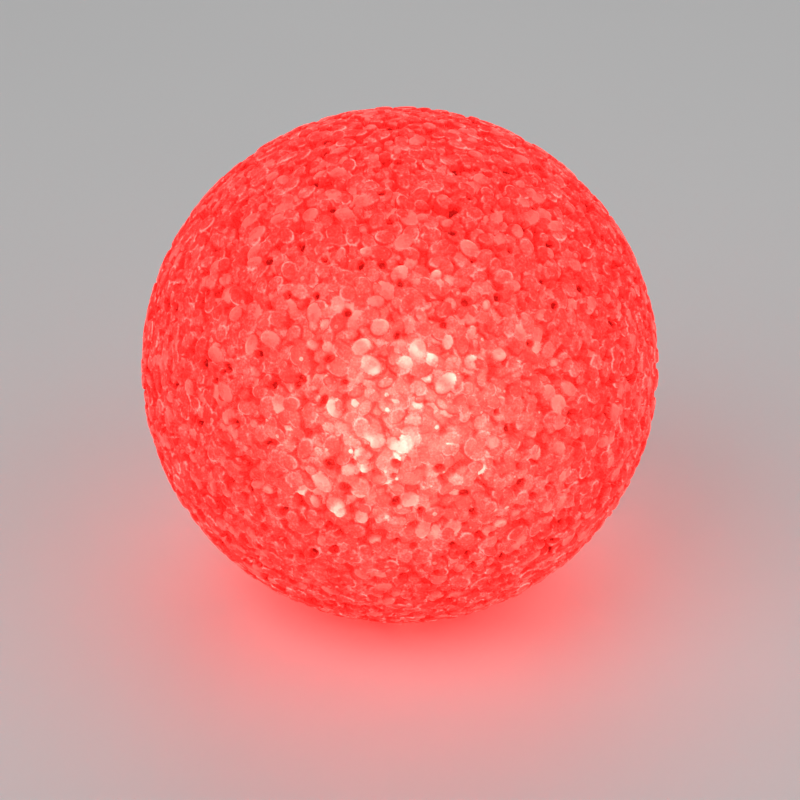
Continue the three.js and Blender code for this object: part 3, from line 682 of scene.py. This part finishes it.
def granule_material(glow):
    """Fused clear granules: the lamp's light painted on as their own glow, and a share of light let
    through.

    The painted level of a point starts from its granule's own shade, gains a painted line of light
    near the granule's edge, gains specks, blotches and painted spots of light, and drops as painted
    shade in the gaps and on clear granules. The level picks the glow's colour, which is painted
    darkest in the pits."""
    material, tree, shader = start_material("fused_granules")
    where = tree.add("ShaderNodeTexCoord").outputs["Object"]
    place, side, pick = tree.point_values("granule")
    gap_shade, clear, other = tree.point_values("relief")
    speck = tree.add("ShaderNodeTexNoise", Vector=where, Scale=2100.0, Detail=2.0).outputs[0]
    blotch = tree.add("ShaderNodeTexNoise", Vector=where, Scale=620.0, Detail=3.0,
                      Roughness=0.6).outputs[0]
    dot = painted_light_dots(tree, where)

    clear = tree.math("MULTIPLY", clear, tree.remap(place, 0.80, 0.95, 1.0, 0.0))
    clear = tree.math("MULTIPLY", tree.math("MAXIMUM", clear, tree.math("MULTIPLY", dot, 0.8)),
                      tree.remap(gap_shade, 0.0, 1.0, 1.0, 0.1))
    # painted highlight: a line of light near each granule's edge is added to the glow
    level = tree.math("ADD", tree.remap(pick, 0.0, 1.0, 0.17, 0.33),
                      painted_rim_light(tree, place, side, other, blotch))
    level = tree.math("ADD", level, middled(tree, speck, 1.0))
    level = tree.math("ADD", level, middled(tree, blotch, 0.9))
    # painted highlight: the spots of light brighten the glow
    level = tree.math("ADD", level, tree.math("MULTIPLY", dot, 0.2))
    # painted shade: the glow drops in the gaps and creases
    level = tree.math("MULTIPLY", level, tree.remap(gap_shade, 0.0, 1.0, 1.0, 0.0))
    level = tree.math("MULTIPLY", level, tree.remap(clear, 0.2, 1.0, 1.0, 0.3))
    between = tuple(b * 0.6 + p * 0.4 for b, p in zip(glow.body, glow.pale))
    light = tree.ramp(level, [
        (0.0, tuple(glow.deep)), (0.30, tuple(glow.body)), (0.55, between), (0.95, tuple(glow.pale))])
    # painted shade: the pits' glow is mixed towards a darker red
    pit = tree.remap(gap_shade, CREASE_LIMIT, 1.0, 0.0, 0.9)
    tree.put(shader, "Emission Color", tree.mix(pit, light, (0.10, 0.002, 0.002)))
    shader.inputs["Emission Strength"].default_value = 1.0

    through = tree.math("MULTIPLY", clear, tree.remap(speck, 0.3, 0.7, 0.7, 1.15))
    # painted shade: the gaps let less light through and take a darker tint
    through = tree.math("SUBTRACT", through, tree.math("MULTIPLY", gap_shade, 0.2))
    through = tree.math("ADD", through, tree.math("ADD", middled(tree, speck, 0.25), 0.19))
    tree.put(shader, "Base Color", tree.ramp(through, [
        (0.0, (0.10, 0.002, 0.002)), (0.2, (0.55, 0.060, 0.053)), (1.0, (1.0, 0.62, 0.56))]))
    shader.inputs["Transmission Weight"].default_value = 0.85
    tree.put(shader, "Roughness", tree.remap(clear, 0.2, 0.7, 0.80, 0.34))
    shader.distribution = "GGX"
    shader.inputs["IOR"].default_value = 1.27
    shader.inputs["Specular IOR Level"].default_value = 0.1
    bump = tree.add("ShaderNodeBump", Height=tree.math("ADD", speck, blotch), Strength=0.35,
                    Distance=0.0001)
    tree.put(shader, "Normal", bump.outputs[0])
    material.cycles.emission_sampling = "NONE"
    return material


def inside_material(glow):
    """The inside of the wall, with the lamp's light painted on as glow: bright where a lump faces it,
    dark on its far side.

    The painted light goes with the square of the facing and falls off with the square of the distance,
    from one at GLOW_REACH. The side towards the wall stays dark."""
    material, tree, shader = start_material("granules_inside")
    where = tree.add("ShaderNodeTexCoord").outputs["Object"]
    shape = tree.add("ShaderNodeNewGeometry")
    way = tree.add("ShaderNodeVectorMath", settings={"operation": "SUBTRACT"},
                   i0=LAMP_MIDDLE, i1=where).outputs[0]
    far = tree.add("ShaderNodeVectorMath", settings={"operation": "LENGTH"}, i0=way).outputs["Value"]
    unit = tree.add("ShaderNodeVectorMath", settings={"operation": "NORMALIZE"}, i0=way).outputs[0]
    facing = tree.add("ShaderNodeVectorMath", settings={"operation": "DOT_PRODUCT"}, i0=unit,
                      i1=shape.outputs["Normal"]).outputs["Value"]
    facing = tree.math("MAXIMUM", facing, 0.0)
    facing = tree.math("MULTIPLY", facing, facing)
    fall = tree.math("DIVIDE", GLOW_REACH, far)
    level = tree.math("MULTIPLY", facing, tree.math("MULTIPLY", fall, fall))
    level = tree.math("MULTIPLY", level, tree.math("SUBTRACT", 1.0, shape.outputs["Backfacing"]))
    level = tree.math("MULTIPLY", level, 0.5)
    tree.put(shader, "Emission Color", tree.mix(level, (0, 0, 0), (1.0, 0.30, 0.26)))
    shader.inputs["Emission Strength"].default_value = glow.wall_strength
    shader.inputs["Base Color"].default_value = (1.0, 0.35, 0.30, 1.0)
    shader.inputs["Transmission Weight"].default_value = 0.9
    shader.inputs["Roughness"].default_value = 0.7
    shader.inputs["IOR"].default_value = 1.45
    shader.inputs["Specular IOR Level"].default_value = 0.1
    material.cycles.emission_sampling = "NONE"
    return material


def lamp_material(glow):
    """The frosted dome, brightest over the lit lamp."""
    material, tree, shader = start_material("frosted_dome")
    where = tree.add("ShaderNodeTexCoord").outputs["Object"]
    apart = tree.add("ShaderNodeVectorMath", settings={"operation": "DISTANCE"}, i0=where, i1=GLOW_SPOT)
    near = tree.remap(apart.outputs["Value"], 0.009, 0.026, 1.0, 0.4)
    haze = tree.add("ShaderNodeTexNoise", Vector=where, Scale=180.0, Detail=3.0).outputs[0]
    near = tree.math("MULTIPLY", near, tree.remap(haze, 0.3, 0.7, 0.85, 1.1))
    tree.put(shader, "Emission Color", tree.mix(near, (0.4, 0.02, 0.016), tuple(glow.lamp)))
    shader.inputs["Emission Strength"].default_value = glow.lamp_strength
    shader.inputs["Base Color"].default_value = (0.9, 0.5, 0.45, 1.0)
    shader.inputs["Roughness"].default_value = 0.6
    material.cycles.emission_sampling = "NONE"
    return material


def finish(node, material):
    """Puts one finish on a CAD node."""
    thing = NODES[node]
    thing.data.materials.clear()
    thing.data.materials.append(material)


# ------------------------------------------------------------------ operators
class POOLLIGHT_OT_globe(bpy.types.Operator):
    """Builds the skin of fused granules and the inside of the globe's wall"""
    bl_idname = "poollight.globe"
    bl_label = "Build granule globe"

    def execute(self, context):
        settings, glow = context.scene.poollight_globe, context.scene.poollight_glow
        granules = granule_material(glow)
        pieces = outer_skin(settings)
        for piece in pieces:
            piece.data.materials.append(granules)
        inside = inner_skin(settings)
        inside.data.materials.append(inside_material(glow))
        for piece in [*pieces, inside]:
            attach(piece, "body")
            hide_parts("granule_globe")
        return {"FINISHED"}


class POOLLIGHT_OT_capsule(bpy.types.Operator):
    """Gives the moulded capsule, its cap, button, feet and seals their finishes"""
    bl_idname = "poollight.capsule"
    bl_label = "Finish capsule"

    def execute(self, context):
        finish("base_housing", finish_material(
            "moulded_white", (0.80, 0.79, 0.76), 0.42, grain=0.22, wear_and_highlight=0.5))
        finish("battery_cap", finish_material(
            "moulded_cap", (0.74, 0.73, 0.70), 0.40, grain=0.22, wear_and_highlight=0.7))
        finish("power_button", finish_material(
            "button_silicone", (0.42, 0.03, 0.03), 0.55, grain=0.15, wear_and_highlight=0.3, dust=0.3))
        soft = finish_material(
            "foot_rubber", (0.60, 0.59, 0.56), 0.75, grain=0.35, scale=1400.0, wear_and_highlight=0.2)
        for i in range(4):
            finish(f"foot_pad_{i + 1}", soft)
        seal = finish_material("seal_rubber", (0.02, 0.02, 0.022), 0.6, grain=0.2, wear_and_highlight=0.2, dust=0.1)
        for node in ("dome_seal", "cap_seal", "button_seal"):
            finish(node, seal)
        return {"FINISHED"}


class POOLLIGHT_OT_light_engine(bpy.types.Operator):
    """Gives the dome, reflector, board and lamps their finishes"""
    bl_idname = "poollight.light_engine"
    bl_label = "Finish light engine"

    def execute(self, context):
        glow = context.scene.poollight_glow
        finish("diffuser_dome", lamp_material(glow))
        finish("reflector", finish_material("reflector_white", (0.86, 0.86, 0.84), 0.35, grain=0.08))
        board = finish_material("solder_mask", (0.02, 0.13, 0.055), 0.42, grain=0.12, coat=0.3,
                                tint=(0.55, 0.5, 0.3))
        finish("circuit_board", board)
        finish("switch_board", board)
        for node, colour in (("led_red", (0.8, 0.05, 0.04)), ("led_green", (0.55, 0.75, 0.55)),
                             ("led_blue", (0.5, 0.6, 0.8))):
            finish(node, finish_material(f"{node}_epoxy", colour, 0.14, grain=0.04, dust=0.1, coat=0.5))
        finish("controller_chip", finish_material("chip_epoxy", (0.025, 0.025, 0.028), 0.6, grain=0.3))
        finish("capacitor", finish_material("capacitor_sleeve", (0.03, 0.04, 0.07), 0.3, grain=0.05))
        chip = finish_material(
            "resistor_ceramic", (0.04, 0.04, 0.045), 0.5, grain=0.2, tint=(0.7, 0.7, 0.7))
        for i in range(3):
            finish(f"resistor_{i + 1}", chip)
        return {"FINISHED"}


class POOLLIGHT_OT_power(bpy.types.Operator):
    """Gives the cells, contacts, spring, screws, switch and wires their finishes"""
    bl_idname = "poollight.power"
    bl_label = "Finish power parts"

    def execute(self, context):
        nickel = finish_material(
            "nickel_plate", (0.62, 0.62, 0.61), 0.26, metal=1.0, grain=0.06, wear_and_highlight=0.3)
        can = finish_material("cell_can", (0.66, 0.66, 0.65), 0.22, metal=1.0, grain=0.04, wear_and_highlight=0.4)
        brass = finish_material(
            "contact_brass", (0.62, 0.48, 0.24), 0.3, metal=1.0, grain=0.06, wear_and_highlight=0.3)
        steel = finish_material(
            "plated_screw", (0.56, 0.56, 0.57), 0.3, metal=1.0, grain=0.08, wear_and_highlight=0.6)
        for i in range(3):
            finish(f"battery_cell_{i + 1}", can)
        finish("positive_contact", brass)
        finish("negative_contact", nickel)
        finish("contact_spring", nickel)
        for node in NODES:
            if "_screw_" in node:
                finish(node, steel)
        nylon = finish_material("switch_nylon", (0.035, 0.035, 0.04), 0.5, grain=0.2)
        finish("tact_switch", nylon)
        finish("switch_plunger", nylon)
        finish("switch_wire_a", finish_material("wire_red", (0.5, 0.03, 0.02), 0.45, grain=0.08))
        finish("switch_wire_b", finish_material("wire_black", (0.03, 0.03, 0.035), 0.45, grain=0.08))
        return {"FINISHED"}


class POOLLIGHT_OT_stage(bpy.types.Operator):
    """Sets up the floor, the soft lights and the camera"""
    bl_idname = "poollight.stage"
    bl_label = "Build stage"

    def execute(self, context):
        scene, stage = context.scene, context.scene.poollight_stage
        self.add_floor()
        self.add_light("key_softbox", (-0.55, -0.55, 0.9), stage.key)
        self.add_light("fill_softbox", (0.7, -0.35, 0.6), stage.key * 0.4)
        self.add_light("back_softbox", (0.1, 0.8, 0.8), stage.key * 0.4)
        world = bpy.data.worlds.new("studio_air")
        world.use_nodes = True
        ground = world.node_tree.nodes["Background"]
        ground.inputs["Color"].default_value = (1.0, 1.0, 1.0, 1.0)
        ground.inputs["Strength"].default_value = stage.air
        scene.world = world
        self.add_camera(scene, stage)
        scene.view_settings.view_transform = "Standard"
        return {"FINISHED"}

    def add_floor(self):
        """A pale floor that is clear when it is looked at from below."""
        side = np.linspace(-FLOOR_HALF, FLOOR_HALF, FLOOR_POINTS)
        across, along = np.meshgrid(side, side)
        flat = np.stack([across, along, 0 * across], -1).reshape(-1, 3)
        floor = make_object("studio_floor", flat, grid_faces(FLOOR_POINTS, FLOOR_POINTS)[:, ::-1])
        material, tree, shader = start_material("pale_floor")
        where = tree.add("ShaderNodeTexCoord").outputs["Object"]
        cloud = tree.add("ShaderNodeTexNoise", Vector=where, Scale=4.0, Detail=4.0).outputs[0]
        tree.put(shader, "Base Color", tree.mix(cloud, (0.66, 0.66, 0.665), (0.70, 0.70, 0.70)))
        shader.inputs["Roughness"].default_value = 0.55
        behind = tree.add("ShaderNodeNewGeometry").outputs["Backfacing"]
        tree.put(shader, "Alpha", tree.math("SUBTRACT", 1.0, behind))
        floor.data.materials.append(material)

    def add_light(self, name, place, power):
        """A square soft light aimed at the globe."""
        data = bpy.data.lights.new(name, "AREA")
        data.size = LIGHT_SIZE
        data.energy = power
        lamp = bpy.data.objects.new(name, data)
        lamp.location = place
        aim = np.array([0.0, 0.0, GLOBE_CENTRE]) - np.array(place)
        lamp.rotation_euler = to_euler(aim)
        bpy.context.scene.collection.objects.link(lamp)

    def add_camera(self, scene, stage):
        """A long lens looking a little below the globe's middle."""
        data = bpy.data.cameras.new("studio_camera")
        data.sensor_width = LENS_SENSOR
        half_ball = math.asin(GLOBE_RADIUS / stage.distance)
        half_view = math.tan(half_ball) / BALL_SHARE
        data.lens = LENS_SENSOR / 2 / half_view
        data.clip_start = 0.01
        camera = bpy.data.objects.new("studio_camera", data)
        rise, level = math.sin(stage.elevation), math.cos(stage.elevation)
        middle = np.array([0.0, 0.0, GLOBE_CENTRE])
        spot = middle + stage.distance * np.array([0.0, -level, rise])
        up = np.array([0.0, rise, level])
        aim = middle - up * stage.distance * half_view * LOOK_DOWN
        camera.location = spot
        camera.rotation_euler = to_euler(aim - spot)
        scene.collection.objects.link(camera)
        scene.camera = camera


def to_euler(direction):
    """Turn that points an object's -Z along a direction, with its Y as near up as it can be."""
    return Vector(direction).to_track_quat("-Z", "Y").to_euler()


class POOLLIGHT_PT_panel(bpy.types.Panel):
    """Sizes, light and build steps of the pool light"""
    bl_label = "Pool Light"
    bl_idname = "POOLLIGHT_PT_panel"
    bl_space_type = "VIEW_3D"
    bl_region_type = "UI"
    bl_category = "Pool Light"

    def draw(self, context):
        scene = context.scene
        for group in (scene.poollight_globe, scene.poollight_glow, scene.poollight_stage):
            box = self.layout.box()
            for key in group.bl_rna.properties.keys():
                if key not in ("rna_type", "name"):
                    box.prop(group, key)
        for kind in OPERATORS:
            self.layout.operator(kind.bl_idname)


SETTINGS = (PoolLightGlobe, PoolLightGlow, PoolLightStage)
OPERATORS = (POOLLIGHT_OT_stage, POOLLIGHT_OT_globe, POOLLIGHT_OT_capsule,
             POOLLIGHT_OT_light_engine, POOLLIGHT_OT_power)


def register():
    """Registers the classes and hangs the settings on the scene."""
    for kind in (*SETTINGS, *OPERATORS, POOLLIGHT_PT_panel):
        bpy.utils.register_class(kind)
    bpy.types.Scene.poollight_globe = bpy.props.PointerProperty(type=PoolLightGlobe)
    bpy.types.Scene.poollight_glow = bpy.props.PointerProperty(type=PoolLightGlow)
    bpy.types.Scene.poollight_stage = bpy.props.PointerProperty(type=PoolLightStage)


def unregister():
    """Takes the settings and classes away again."""
    for key in ("poollight_globe", "poollight_glow", "poollight_stage"):
        delattr(bpy.types.Scene, key)
    for kind in reversed((*SETTINGS, *OPERATORS, POOLLIGHT_PT_panel)):
        bpy.utils.unregister_class(kind)


def main():
    """Builds everything in order."""
    register()
    bpy.ops.poollight.stage()
    bpy.ops.poollight.globe()
    bpy.ops.poollight.capsule()
    bpy.ops.poollight.light_engine()
    bpy.ops.poollight.power()


if __name__ == "__main__":
    main()
